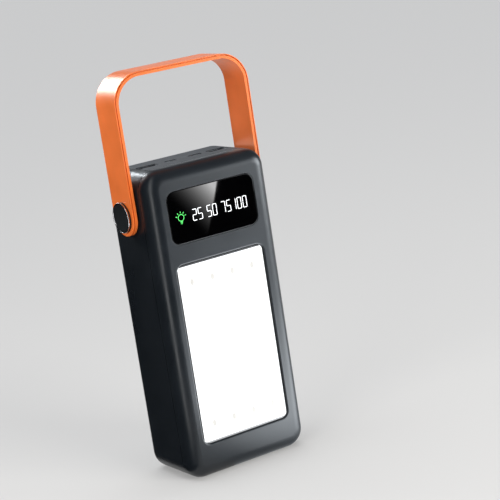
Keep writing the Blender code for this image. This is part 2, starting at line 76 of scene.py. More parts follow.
# Small sizes that several pieces share
MOULD_GAP = 0.00025  # round a piece that sits in a moulding
CLEARANCE = 0.0003  # between two pieces that must not touch
MOULD_EDGE = 0.00022  # rounding of the mouldings' sharp edges
BUTTON_FLANGE = 0.0011  # width of the button's hidden flange
THROUGH = 0.01  # how far a cutting tool reaches past what it cuts


# Sizes and colours a user would change
def length(name, description, default):
    return bpy.props.FloatProperty(
        name=name, description=description, default=default, min=0.0, unit="LENGTH", precision=5
    )


def colour(name, description, default):
    return bpy.props.FloatVectorProperty(
        name=name, description=description, default=default, min=0.0, max=1.0, size=3, subtype="COLOR"
    )


class CaseSettings(bpy.types.PropertyGroup):
    wall: length("Wall", "Wall thickness of both case mouldings", 0.0024)
    corner: length("Corner", "Radius of the four upright outline corners", 0.0115)
    front_fillet: length("Front fillet", "Radius round the front face", 0.0085)
    rear_fillet: length("Rear fillet", "Radius round the back face", 0.007)
    lamp_lip: length("Lamp lip", "Width of the rounded lip round the lamp", 0.0010)
    plastic: colour("Plastic", "Colour of the case plastic", (0.0070, 0.0096, 0.0130))


class DisplaySettings(bpy.types.PropertyGroup):
    lens_corner: length("Lens corner", "Radius of the lens corners", 0.0055)
    digit_height: length("Digit height", "Height of the charge figures", 0.0071)
    digit_width: length("Digit width", "Width of one figure", 0.0030)
    digit_pitch: length("Digit pitch", "Distance from one figure to the next", 0.0039)
    stroke: length("Stroke", "Width of a lit segment", 0.00041)
    figures: colour("Figures", "Colour of the lit figures", (0.93, 0.96, 1.0))
    lamp_icon: colour("Lamp icon", "Colour of the lit lamp symbol", (0.10, 0.85, 0.16))


class LampSettings(bpy.types.PropertyGroup):
    corner: length("Corner", "Radius of the lamp cover's corners", 0.005)
    columns: bpy.props.IntProperty(name="Columns", description="Light chips side by side", default=4)
    rows: bpy.props.IntProperty(name="Rows", description="Light chips one above the other", default=5)
    pitch_x: length("Pitch across", "Distance between chips side by side", 0.0143)
    pitch_z: length("Pitch up", "Distance between chips one above the other", 0.022)
    # The rim is painted shade round the cover's face, with a painted highlight along its bottom.
    rim: length("Rim", "Width of the cover's dim rim", 0.0012)
    glow: bpy.props.FloatProperty(name="Glow", description="How strongly the lamp cover shines", default=1.05)
    light: colour("Light", "Colour of the lamp's light", (0.96, 0.98, 1.0))
    set_back: length("Set back", "Depth of the cover's face behind the front", 0.0009)


class HandleSettings(bpy.types.PropertyGroup):
    thickness: length("Thickness", "Thickness of the strap", 0.0028)
    corner: length("Corner", "Outer radius of the two bends", 0.0185)
    eye: length("Eye", "Radius of the hole that turns on the pivot", 0.0042)
    groove: length("Groove", "Width of the fine groove along the strap's edge", 0.0006)
    groove_depth: length("Groove place", "Distance of the groove from the outer face", 0.0005)
    plastic: colour("Plastic", "Colour of the handle", (0.78, 0.168, 0.032))


class StageSettings(bpy.types.PropertyGroup):
    azimuth: bpy.props.FloatProperty(name="Azimuth", description="Camera direction", default=-31.8245)
    elevation: bpy.props.FloatProperty(name="Elevation", description="Camera height angle", default=11.9425)
    roll: bpy.props.FloatProperty(name="Roll", description="Camera roll", default=8.6535)
    distance: length("Distance", "Camera distance from its aim", 1.0549)
    lens: bpy.props.FloatProperty(name="Lens", description="Focal length", default=122.3)
    floor: colour("Floor", "Colour of the floor", (0.80, 0.80, 0.80))


# Modelling by hand
def deselect_all():
    bpy.ops.object.select_all(action="DESELECT")


def select_only(obj):
    deselect_all()
    obj.select_set(True)
    bpy.context.view_layer.objects.active = obj


def settle(obj):
    """Puts the object at the origin, with its place in its mesh."""
    select_only(obj)
    bpy.ops.object.transform_apply(location=True, rotation=True, scale=True)


def new_object(name):
    obj = bpy.context.object
    obj.name = name
    settle(obj)
    return obj


def add_block(name, low, high):
    """A cube stretched between two corners."""
    deselect_all()
    low, high = Vector(low), Vector(high)
    bpy.ops.mesh.primitive_cube_add(size=1, location=(low + high) / 2, scale=high - low)
    return new_object(name)


def add_rod(name, radius, start, end, centre, sides=96, along="X"):
    """A cylinder along X, Y or Z, from start to end on that axis."""
    deselect_all()
    place = Vector(centre)
    place["XYZ".index(along)] = (start + end) / 2
    turn = {"X": (0, math.pi / 2, 0), "Y": (math.pi / 2, 0, 0), "Z": (0, 0, 0)}[along]
    bpy.ops.mesh.primitive_cylinder_add(
        vertices=sides, radius=radius, depth=abs(end - start), location=place, rotation=turn
    )
    return new_object(name)


@contextmanager
def shaping(obj, kind, chosen):
    """Edit mode with the chosen edges or faces selected. The test is given their corner points."""
    select_only(obj)
    mesh = obj.data
    for items in (mesh.vertices, mesh.edges, mesh.polygons):
        items.foreach_set("select", [False] * len(items))
    for item in mesh.edges if kind == "EDGE" else mesh.polygons:
        if chosen([mesh.vertices[index].co for index in item.vertices]):
            item.select = True
            for index in item.vertices:
                mesh.vertices[index].select = True
    bpy.context.tool_settings.mesh_select_mode = (False, kind == "EDGE", kind == "FACE")
    bpy.ops.object.mode_set(mode="EDIT")
    yield
    bpy.ops.object.mode_set(mode="OBJECT")


def level(axis, value, slack=1e-6):
    """A test: all corners lie at this value on the axis."""
    index = "XYZ".index(axis)
    return lambda corners: all(abs(corner[index] - value) < slack for corner in corners)


def along(axis):
    """A test: an edge that runs along the axis."""
    others = [i for i in range(3) if i != "XYZ".index(axis)]
    return lambda ends: all(abs(ends[0][i] - ends[1][i]) < 1e-7 for i in others)


def round_edges(obj, chosen, radius, segments):
    with shaping(obj, "EDGE", chosen):
        bpy.ops.mesh.bevel(offset=radius, segments=segments, affect="EDGES")


def add_tile(name, low, high, axis, radius, segments=8):
    """A block whose four edges along one axis are rounded."""
    tile = add_block(name, low, high)
    if radius:
        round_edges(tile, along(axis), radius, segments)
    return tile


def grown(low, high, by):
    """The two corners moved outwards by a vector."""
    return Vector(low) - Vector(by), Vector(high) + Vector(by)


def apply_modifier(obj, modifier):
    select_only(obj)
    bpy.ops.object.modifier_apply(modifier=modifier.name)


def carve(obj, *tools, operation="DIFFERENCE"):
    """Cuts the tools from the object, or fuses them to it, and removes them."""
    for tool in tools:
        modifier = obj.modifiers.new("carve", "BOOLEAN")
        modifier.operation = operation
        modifier.solver = "EXACT"
        modifier.object = tool
        apply_modifier(obj, modifier)
        bpy.data.objects.remove(tool, do_unlink=True)


def fuse(obj, *parts):
    carve(obj, *parts, operation="UNION")


def bore_at_pivots(obj, name, radius, wall_x, sides):
    """A hole through each side wall, on the pivots' axis."""
    for side in SIDES.values():
        start, end = sorted((side * (wall_x - THROUGH), side * (wall_x + THROUGH)))
        carve(obj, add_rod(name, radius, start, end, PIVOT, sides))


def soften(obj, width, segments=2, angle=50):
    """Rounds every edge that is sharper than the angle."""
    modifier = obj.modifiers.new("soft edges", "BEVEL")
    modifier.width = width
    modifier.segments = segments
    modifier.limit_method = "ANGLE"
    modifier.angle_limit = math.radians(angle)
    apply_modifier(obj, modifier)


def smooth(obj, angle):
    """Smooth shading that keeps broad flat faces flat."""
    select_only(obj)
    bpy.ops.object.shade_smooth_by_angle(angle=math.radians(angle))
    modifier = obj.modifiers.new("flat faces", "WEIGHTED_NORMAL")
    modifier.keep_sharp = True
    apply_modifier(obj, modifier)


def joined(objects, name):
    """One object from several."""
    deselect_all()
    for obj in objects:
        obj.select_set(True)
    bpy.context.view_layer.objects.active = objects[0]
    if len(objects) > 1:
        bpy.ops.object.join()
    return new_object(name)


def keep(obj, material, slot, *instead_of, body="case", angle=35):
    """Makes the object a piece of the power bank, in the place of the named nodes. No angle: flat shading."""
    if angle:
        smooth(obj, angle)
    obj.data.materials.clear()
    obj.data.materials.append(material)
    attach(obj, body)
    if instead_of:
        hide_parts(*instead_of)


# Finishes
def fill(node, **values):
    """Sets a node's inputs. An underscore stands for a space in an input's name."""
    for name, value in values.items():
        node.inputs[name.replace("_", " ")].default_value = value


class Finish:
    """A material under way: its nodes, its shader and its object coordinates."""

    def __init__(self, name, base, roughness, metallic=0.0):
        self.material = bpy.data.materials.new(name)
        self.material.use_nodes = True
        self.tree = self.material.node_tree
        self.shader = self.tree.nodes["Principled BSDF"]
        fill(self.shader, Base_Color=(*base, 1.0), Roughness=roughness, Metallic=metallic)
        self.place = self.node("ShaderNodeTexCoord").outputs["Object"]
        self.split = None

    def feed(self, socket, source):
        self.link(source, self.shader.inputs[socket])

    def node(self, kind, **settings):
        made = self.tree.nodes.new(kind)
        for name, value in settings.items():
            setattr(made, name, value)
        return made

    def link(self, source, target):
        self.tree.links.new(source, target)

    def coordinate(self, axis):
        """The object's own X, Y or Z at the point being shaded."""
        if self.split is None:
            self.split = self.node("ShaderNodeSeparateXYZ")
            self.link(self.place, self.split.inputs[0])
        return self.split.outputs[axis]

    def stretched(self, scale):
        """Object coordinates with each axis scaled by its own amount."""
        mapping = self.node("ShaderNodeMapping")
        self.link(self.place, mapping.inputs["Vector"])
        fill(mapping, Scale=scale)
        return mapping.outputs["Vector"]

    def noise(self, scale, detail=2.0, place=None, rough=0.5):
        """Fractal noise with this many features in a metre."""
        made = self.node("ShaderNodeTexNoise")
        self.link(place or self.place, made.inputs["Vector"])
        fill(made, Scale=scale, Detail=detail, Roughness=rough)
        return made.outputs["Fac"]

    def between(self, value, low, high, from_low=0.0, from_high=1.0):
        """The value moved from one range to another and held there."""
        made = self.node("ShaderNodeMapRange")
        self.link(value, made.inputs["Value"])
        fill(made, From_Min=from_low, From_Max=from_high, To_Min=low, To_Max=high)
        return made.outputs["Result"]

    def maths(self, operation, first, second=0.0):
        made = self.node("ShaderNodeMath", operation=operation)
        for socket, value in zip(made.inputs, (first, second)):
            if isinstance(value, (int, float)):
                socket.default_value = value
            else:
                self.link(value, socket)
        return made.outputs[0]

    def plus(self, first, second):
        return self.maths("ADD", first, second)

    def times(self, first, second):
        return self.maths("MULTIPLY", first, second)

    def mixed(self, amount, low, high):
        """A colour between two by the amount. The lower one may be a colour or another node's output."""
        mix = self.node("ShaderNodeMix", data_type="RGBA")
        self.link(amount, mix.inputs["Factor"])
        if isinstance(low, tuple):
            fill(mix, A=(*low, 1.0))
        else:
            self.link(low, mix.inputs["A"])
        fill(mix, B=(*high, 1.0))
        return mix.outputs["Result"]

    def tint(self, amount, low, high):
        self.feed("Base Color", self.mixed(amount, low, high))

    def bump(self, height, distance, strength=1.0):
        made = self.node("ShaderNodeBump")
        self.link(height, made.inputs["Height"])
        fill(made, Distance=distance, Strength=strength)
        self.feed("Normal", made.outputs["Normal"])

    def vary_roughness(self, value, low, high):
        self.feed("Roughness", self.between(value, low, high, 0.3, 0.7))

    def drift(self, value, base, darkest, palest, start=0.35):
        """The base colour a little darker or paler from place to place."""
        amount = self.between(value, 0.0, 1.0, start, 1.0 - start)
        self.tint(amount, shade(base, darkest), shade(base, palest))


def shade(base, factor):
    return tuple(min(1.0, channel * factor) for channel in base)


def moulded_plastic(name, base, roughness, grain=3600.0, depth=0.00002, sheen=(1.0, 1.0, 1.0)):
    """Injection-moulded plastic: fine spark grain, faint handling marks and a little colour drift."""
    finish = Finish(name, base, roughness)
    fine = finish.noise(grain, detail=3.0)
    marks = finish.noise(42.0, detail=3.0, rough=0.5)
    finish.drift(marks, base, 0.9, 1.1, start=0.3)
    finish.vary_roughness(marks, roughness - 0.04, roughness + 0.05)
    finish.bump(fine, depth)
    fill(finish.shader, Specular_Tint=(*sheen, 1.0))
    return finish.material


def case_plastic(settings):
    return moulded_plastic("satin slate plastic", tuple(settings.plastic), 0.31)


def handle_plastic(settings):
    base, warm = tuple(settings.plastic), (1.0, 0.90, 0.66)
    return moulded_plastic("satin orange plastic", base, 0.34, grain=2600.0, depth=0.000012, sheen=warm)


def plated_metal(name, base, roughness, along_axis=(1.0, 1.0, 1.0)):
    """Plated metal with fine drawn lines along one axis."""
    finish = Finish(name, base, roughness, metallic=1.0)
    lines = finish.noise(900.0, detail=3.0, place=finish.stretched(along_axis))
    cloud = finish.noise(160.0, detail=4.0)
    finish.vary_roughness(cloud, max(0.03, roughness - 0.06), roughness + 0.08)
    finish.drift(cloud, base, 0.9, 1.06)
    finish.bump(lines, 0.000004)
    return finish.material


def socket_steel_with_painted_shade():
    """Plated steel at the mouth's rim, with painted shade darkening it below the rim, inside the socket."""
    base = (0.62, 0.63, 0.65)
    finish = Finish("plated socket steel", base, 0.3, metallic=1.0)
    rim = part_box("usb_a_shell_left")[1].z
    # Painted shade: below the mouth's rim the steel is tinted nearly black, standing for the shade inside the
    # socket.
    above_painted_shade = finish.between(finish.coordinate("Z"), 0.0, 1.0, rim - 0.00025, rim - 0.00005)
    finish.vary_roughness(finish.noise(160.0, detail=4.0), 0.24, 0.38)
    finish.tint(above_painted_shade, shade(base, 0.05), base)
    finish.bump(finish.noise(900.0, detail=3.0, place=finish.stretched((1.0, 1.0, 0.06))), 0.000004)
    return finish.material


def lens_glass():
    """Back-painted glossy lens with a trace of dust and wiping marks."""
    black, dusty = (0.0006, 0.0006, 0.0008), (0.006, 0.006, 0.007)
    finish = Finish("black display lens", black, 0.03)
    wiped = finish.noise(30.0, detail=5.0, place=finish.stretched((1.0, 1.0, 0.25)), rough=0.6)
    finish.vary_roughness(wiped, 0.015, 0.035)
    dust = finish.noise(2400.0, detail=2.0)
    finish.tint(finish.between(dust, 0.0, 1.0, 0.72, 0.85), black, dusty)
    finish.bump(wiped, 0.00001, strength=0.15)
    return finish.material


def lit(name, base, strength):
    """A glowing print whose brightness drifts a little along its strokes."""
    finish = Finish(name, shade(base, 0.8), 0.4)
    drift = finish.noise(900.0, detail=2.0)
    fill(finish.shader, Emission_Color=(*base, 1.0))
    finish.feed("Emission Strength", finish.between(drift, strength * 0.88, strength * 1.1, 0.3, 0.7))
    finish.bump(drift, 0.000004)
    return finish.material


def lamp_cover_material(settings):
    """Frosted white cover, lit from behind: a bright face, faint spots over the end chips, and a rim of
    painted shade with a painted highlight along its bottom.
    """
    frosted, rim_shade_colour, warm_spot = (0.34, 0.345, 0.35), (0.03, 0.03, 0.034), (1.0, 0.965, 0.86)
    spot_glow, painted_lip_glow = 0.37, 0.42
    finish = Finish("frosted lamp cover", frosted, 0.38)
    finish.bump(finish.noise(2200.0, detail=3.0), 0.00002)
    finish.vary_roughness(finish.noise(60.0, detail=4.0), 0.32, 0.44)
    face_low, face_high = lamp_face()
    width, height = face_high.x - face_low.x, face_high.z - face_low.z

    def from_nearest(axis, middle, count, pitch):
        """Distance to the nearest chip line, in metres. An even count has no chip in the middle."""
        line = middle + pitch / 2 * (1 - count % 2)
        offset = finish.maths("SUBTRACT", finish.coordinate(axis), line - pitch / 2)
        turns = finish.maths("FRACT", finish.maths("DIVIDE", offset, pitch))
        return finish.times(finish.maths("SUBTRACT", turns, 0.5), pitch)

    across = from_nearest("X", 0.0, settings.columns, settings.pitch_x)
    upward = finish.times(from_nearest("Z", LAMP_MIDDLE.z, settings.rows, settings.pitch_z), 0.6)
    squares = finish.plus(finish.maths("POWER", across, 2.0), finish.maths("POWER", upward, 2.0))
    spot = finish.between(finish.maths("SQRT", squares), 1.0, 0.0, 0.0008, 0.0023)
    above_middle = finish.maths("SUBTRACT", finish.coordinate("Z"), LAMP_MIDDLE.z)
    from_middle = finish.maths("ABSOLUTE", above_middle)
    spot = finish.times(spot, finish.between(from_middle, 0.0, 1.0, height * 0.27, height * 0.38))

    # Painted shade: a rim round the cover's face gets a near-black colour and no glow, standing for the
    # shadow gap under the window's lip.
    past_side = finish.maths("SUBTRACT", finish.maths("ABSOLUTE", finish.coordinate("X")), width / 2)
    past_end = finish.maths("SUBTRACT", from_middle, height / 2)
    shade_rim_side, shade_rim_end = settings.rim * 0.55, settings.rim
    into_shade_rim = finish.maths("MAXIMUM", finish.plus(past_side, shade_rim_side), finish.plus(past_end, shade_rim_end))
    face = finish.between(into_shade_rim, 1.0, 0.0, 0.0, 0.00015)
    # Painted highlight: along the bottom the rim glows faintly, standing for the lip below it catching the
    # lamp's light.
    fade_start, fade_end = shade_rim_end * 1.1 - height / 2, shade_rim_end * 1.4 - height / 2
    painted_lip_highlight = finish.between(above_middle, painted_lip_glow, 0.0, fade_start, fade_end)
    painted_lip_highlight = finish.times(painted_lip_highlight, finish.between(past_end, 1.0, 0.0, -0.0001, 0.0))
    bright = finish.times(finish.between(spot, settings.glow, spot_glow), face)
    finish.feed("Emission Strength", finish.maths("MAXIMUM", bright, painted_lip_highlight))
    finish.feed("Emission Color", finish.mixed(spot, tuple(settings.light), warm_spot))
    finish.tint(face, rim_shade_colour, frosted)
    return finish.material


def circuit_board():
    """Green solder mask with paler copper tracks on a grid and tiny plated holes."""
    base = (0.012, 0.11, 0.045)
    finish = Finish("solder mask", base, 0.35)
    flat = finish.node("ShaderNodeCombineXYZ")
    finish.link(finish.coordinate("X"), flat.inputs["X"])
    finish.link(finish.coordinate("Z"), flat.inputs["Y"])
    tracks = finish.node("ShaderNodeTexBrick")
    finish.link(flat.outputs[0], tracks.inputs["Vector"])
    fill(tracks, Scale=160.0, Mortar_Size=0.03, Mortar=(0.05, 0.24, 0.09, 1.0))
    fill(tracks, Color1=(*base, 1.0), Color2=(*shade(base, 1.25), 1.0))
    cloud = finish.noise(90.0, detail=4.0)
    finish.tint(finish.between(cloud, 0.0, 0.35, 0.3, 0.7), tracks.outputs["Color"], shade(base, 0.6))
    finish.vary_roughness(cloud, 0.28, 0.45)
    finish.bump(tracks.outputs["Fac"], 0.00003, strength=0.5)
    return finish.material


def shrink_sleeve():
    """Blue shrink sleeve over a cell, with fine wrinkles round it."""
    base = (0.012, 0.09, 0.33)
    finish = Finish("blue shrink sleeve", base, 0.32)
    wrinkles = finish.noise(26.0, detail=5.0, place=finish.stretched((1.0, 1.0, 6.0)))
    finish.drift(wrinkles, base, 0.8, 1.2)
    finish.vary_roughness(wrinkles, 0.25, 0.4)
    finish.bump(wrinkles, 0.00015)
    return finish.material


def wire_insulation(name, base):
    finish = Finish(name, base, 0.45)
    marks = finish.noise(700.0, detail=3.0)
    finish.drift(marks, base, 0.8, 1.15)
    finish.vary_roughness(marks, 0.38, 0.55)
    finish.bump(marks, 0.00003)
    return finish.material


# Case
def case_half(name, open_y, end_y, low, high, fillet):
    """Half of the case: outline corners and closed rim rounded, open at the seam, with a wall all round."""
    settings = bpy.context.scene.powerbank_case
    half = add_block(name, (low.x, min(open_y, end_y), low.z), (high.x, max(open_y, end_y), high.z))
    round_edges(half, along("Y"), settings.corner, 14)
    round_edges(half, level("Y", end_y), fillet, 9)
    with shaping(half, "FACE", level("Y", open_y)):
        bpy.ops.mesh.delete(type="FACE")
    wall = half.modifiers.new("wall", "SOLIDIFY")
    wall.thickness = settings.wall
    wall.offset = -1
    wall.use_even_offset = True
    apply_modifier(half, wall)
    return half


class POWERBANK_OT_front_cover(bpy.types.Operator):
    """Front moulding with the lens recess and the rounded lamp window"""

    bl_idname = "powerbank.front_cover"
    bl_label = "Front cover"

    def execute(self, context):
        settings = context.scene.powerbank_case
        display, lamp = context.scene.powerbank_display, context.scene.powerbank_lamp
        fillet = settings.front_fillet
        cover = case_half("moulded_front_cover", COVER_HIGH.y, FRONT_Y, COVER_LOW, COVER_HIGH, fillet)
        ledge = 0.0025
        low, high = grown(LENS_LOW, LENS_HIGH, (MOULD_GAP, 0, MOULD_GAP))
        high.y += CLEARANCE
        low.y -= THROUGH / 2
        carve(cover, add_tile("lens recess", low, high, "Y", display.lens_corner + MOULD_GAP, 10))
        low, high = grown(LENS_LOW, LENS_HIGH, (-ledge, 0, -ledge))
        low.y, high.y = FRONT_Y - THROUGH, FRONT_Y + 2 * THROUGH
        carve(cover, add_tile("lens window", low, high, "Y", display.lens_corner - 0.002, 8))

        low, high = grown(*lamp_face(), (MOULD_GAP, 0, MOULD_GAP))
        low.y, high.y = FRONT_Y - THROUGH, FRONT_Y + 2 * THROUGH
        carve(cover, add_tile("lamp window", low, high, "Y", lamp.corner, 10))
        inside_low, inside_high = grown(low, high, (1e-5, 0, 1e-5))

        def window_edge(ends):
            """An edge of the lamp window, on the front face."""
            across = all(inside_low.x < end.x < inside_high.x for end in ends)
            at_window = all(inside_low.z < end.z < inside_high.z for end in ends)
            return across and level("Y", FRONT_Y)(ends) and at_window

        round_edges(cover, window_edge, settings.lamp_lip, 6)
        soften(cover, MOULD_EDGE)
        keep(cover, case_plastic(settings), "case_plastic", "front_cover")
        return {"FINISHED"}


def lamp_face():
    """The corners of the part of the lamp cover that shows: its flange is wider."""
    flange = 0.0018
    return grown(LAMP_LOW, LAMP_HIGH, (-flange, 0, -flange - 0.0001))


class POWERBANK_OT_rear_shell(bpy.types.Operator):
    """Rear moulding with its seam lip, socket plate recess, button hole and pivot holes"""

    bl_idname = "powerbank.rear_shell"
    bl_label = "Rear shell"

    def execute(self, context):
        settings = context.scene.powerbank_case
        seam = COVER_HIGH.y + CLEARANCE
        fillet = settings.rear_fillet
        shell = case_half("moulded_rear_shell", seam, SHELL_HIGH.y, SHELL_LOW, SHELL_HIGH, fillet)
        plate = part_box("port_plate")
        low, high = grown(*plate, (MOULD_GAP, MOULD_GAP, 0))
        low.z -= CLEARANCE
        high.z += THROUGH
        carve(shell, add_tile("plate recess", low, high, "Z", 0.003, 8))
        low, high = grown(*plate, (-0.0005, -0.004, THROUGH))
        carve(shell, add_tile("plate window", low, high, "Z", 0.002, 6))
        around_button = MOULD_GAP - BUTTON_FLANGE
        low, high = grown(BUTTON_LOW, BUTTON_HIGH, (0.002, around_button, around_button))
        carve(shell, add_tile("button hole", low, high, "X", (high.z - low.z) / 2 - 1e-5, 12))
        bore_at_pivots(shell, "pivot hole", 0.0022, SHELL_HIGH.x, 32)
        fuse(shell, self.seam_lip(settings, seam))
        soften(shell, MOULD_EDGE)
        keep(shell, case_plastic(settings), "case_plastic", "rear_shell")
        return {"FINISHED"}

    def seam_lip(self, settings, seam):
        """The thin rim that reaches forwards behind the seam."""

        def outline(name, inset, y0, y1):
            low, high = grown(SHELL_LOW, SHELL_HIGH, (-inset, 0, -inset))
            low.y, high.y = y0, y1
            return add_tile(name, low, high, "Y", settings.corner - inset, 12)

        reach, root = 0.0022, 0.004
        lip = outline("seam lip", settings.wall + CLEARANCE, seam - reach, seam + root)
        fuse(lip, outline("lip root", settings.wall - 0.0005, seam + reach, seam + root + 0.0001))
        carve(lip, outline("lip inside", 0.0039, seam - THROUGH, seam + THROUGH))
        return lip


class POWERBANK_OT_socket_plate(bpy.types.Operator):
    """Inset top plate with a soft-edged opening for each socket"""

    bl_idname = "powerbank.socket_plate"
    bl_label = "Socket plate"

    def execute(self, context):
        plate = add_tile("socket_plate", *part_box("port_plate"), "Z", 0.003, 8)
        corners = {
            "usb_a_shell_left": 0.0006,
            "usb_a_shell_right": 0.0006,
            "usb_c_socket": 0.0019,
            "micro_usb_socket": 0.0009,
        }
        for node, corner in corners.items():
            low, high = grown(*socket_mouth(node), (CLEARANCE, CLEARANCE, THROUGH))
            carve(plate, add_tile("opening", low, high, "Z", corner, 6))
        soften(plate, 0.00028, 3)
        # Painted light, in part: the plate is the case plastic made twice as pale, partly its own paler tone
        # and partly standing for the light that falls on the top face.
        base = shade(tuple(context.scene.powerbank_case.plastic), 2.0)
        material = moulded_plastic("matt plate plastic", base, 0.5, grain=3200.0, depth=0.000025)
        keep(plate, material, "port_plate_plastic", "port_plate")
        return {"FINISHED"}


def socket_mouth(node):
    """The corners of a socket without its solder feet, which reach towards the board."""
    low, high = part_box(node)
    port_y = sum(corner.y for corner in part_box("usb_a_shell_left")) / 2
    high.y = 2 * port_y - low.y
    return low, high


class POWERBANK_OT_sockets(bpy.types.Operator):
    """Two large and two small sockets, each a folded steel shell round a tongue with contacts"""

    bl_idname = "powerbank.sockets"
    bl_label = "Sockets"

    def execute(self, context):
        self.steel = socket_steel_with_painted_shade()
        self.gold = plated_metal("gold contacts", (0.86, 0.62, 0.25), 0.2, (1.0, 1.0, 0.1))
        self.white = moulded_plastic("white socket plastic", (0.72, 0.73, 0.74), 0.45, depth=0.00001)
        for side in SIDES:
            self.large(side)
        self.small("usb_c_socket", "small_socket_c", corner=0.0016, contacts=6)
        self.small("micro_usb_socket", "small_socket_micro", corner=0.0006, contacts=3)
        return {"FINISHED"}

    def shell(self, node, name, corner, wall):
        """A steel box with a floor, open at the top."""
        low, high = socket_mouth(node)
        shell = add_tile(name, low, high, "Z", corner, 6)
        low, high = grown(low, high, (-wall, -wall, 0))
        low.z += 0.0006
        high.z += THROUGH / 2
        carve(shell, add_tile("mouth", low, high, "Z", max(corner - wall, 0.0), 6))
        return shell

    def large(self, side):
        node = f"usb_a_shell_{side}"
        shell = self.shell(node, f"large_socket_{side}", 0.0006, 0.0004)
        low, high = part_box(node)
        for share in (0.27, 0.73):
            for y in (low.y, high.y):
                middle = Vector((low.x + share * (high.x - low.x), y, high.z - 0.0065))
                spring = Vector((0.0011, 0.0008, 0.003))
                carve(shell, add_block("spring cut", middle - spring, middle + spring))
        soften(shell, 0.00008)
        keep(shell, self.steel, "steel", node)

        node = f"usb_a_tongue_{side}"
        low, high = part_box(node)
        tongue = add_block(f"large_tongue_{side}", low, high)
        round_edges(tongue, level("Z", high.z), 0.0004, 3)
        keep(tongue, self.white, "white_plastic", node)
        strips = []
        pitch = (high.x - low.x) / 4.6
        half_w, front = 0.0005, low.y - 0.00012
        for number in range(4):
            x = (low.x + high.x) / 2 + (number - 1.5) * pitch
            lower, upper = (x - half_w, front, low.z + 0.001), (x + half_w, low.y + 0.0002, high.z - 0.0006)
            strip = add_block("strip", lower, upper)
            round_edges(strip, level("Y", front), 0.00008, 2)
            strips.append(strip)
        contacts = joined(strips, f"large_contacts_{side}")
        keep(contacts, self.gold, "nickel")

    def small(self, node, name, corner, contacts):
        shell = self.shell(node, name, corner, 0.0003)
        low, high = socket_mouth(node)
        middle_y = (low.y + high.y) / 2
        half_t = 0.00033
        inset = 0.0012
        lower = (low.x + inset, middle_y - half_t, low.z + 0.0004)
        fuse(shell, add_block("tongue", lower, (high.x - inset, middle_y + half_t, high.z - 0.0008)))
        soften(shell, 0.00006)
        keep(shell, self.steel, "steel", node)
        strips = []
        half_w, proud, pitch = 0.0002, 0.00005, 0.0008
        for number in range(contacts):
            x = (low.x + high.x) / 2 + (number - (contacts - 1) / 2) * pitch
            for y in (middle_y - half_t, middle_y + half_t):
                lower = (x - half_w, y - proud, low.z + 0.0012)
                strips.append(add_block("strip", lower, (x + half_w, y + proud, high.z - 0.0011)))
        strips = joined(strips, f"{name}_contacts")
        soften(strips, 0.00002, 1)
        keep(strips, self.gold, "nickel", angle=None)


# Display
SEGMENTS = {
    "top": (0.0, 1.0, "across"),
    "middle": (0.0, 0.0, "across"),
    "bottom": (0.0, -1.0, "across"),
    "upper_left": (-1.0, 0.5, "upright"),
    "lower_left": (-1.0, -0.5, "upright"),
    "upper_right": (1.0, 0.5, "upright"),
    "lower_right": (1.0, -0.5, "upright"),
}
FIGURES = {
    "0": ("top", "bottom", "upper_left", "lower_left", "upper_right", "lower_right"),
    "1": ("upper_right", "lower_right"),
    "2": ("top", "upper_right", "middle", "lower_left", "bottom"),
    "5": ("top", "upper_left", "middle", "lower_right", "bottom"),
    "7": ("top", "upper_right", "lower_right"),
}
LEVELS = {"25": -0.0145, "50": -0.0043, "75": 0.0057, "100": 0.0159}
FIGURES_Z = 0.1598
ICON_X, ICON_Z = -0.0225, 0.1601
PRINT_PROUD, PRINT_DEEP = 0.00004, 0.0002


def add_print(name, x, z, width, height, corner, tilt=0.0):
    """A thin raised mark on the lens, turned about Y by the tilt."""
    deselect_all()
    middle_y = FRONT_Y + (PRINT_DEEP - PRINT_PROUD) / 2
    bpy.ops.mesh.primitive_cube_add(size=1, scale=(width, PRINT_DEEP + PRINT_PROUD, height))
    mark = new_object(name)
    round_edges(mark, along("Y"), corner, 3)
    mark.location = (x, middle_y, z)
    mark.rotation_euler = (0, tilt, 0)
    settle(mark)
    return mark


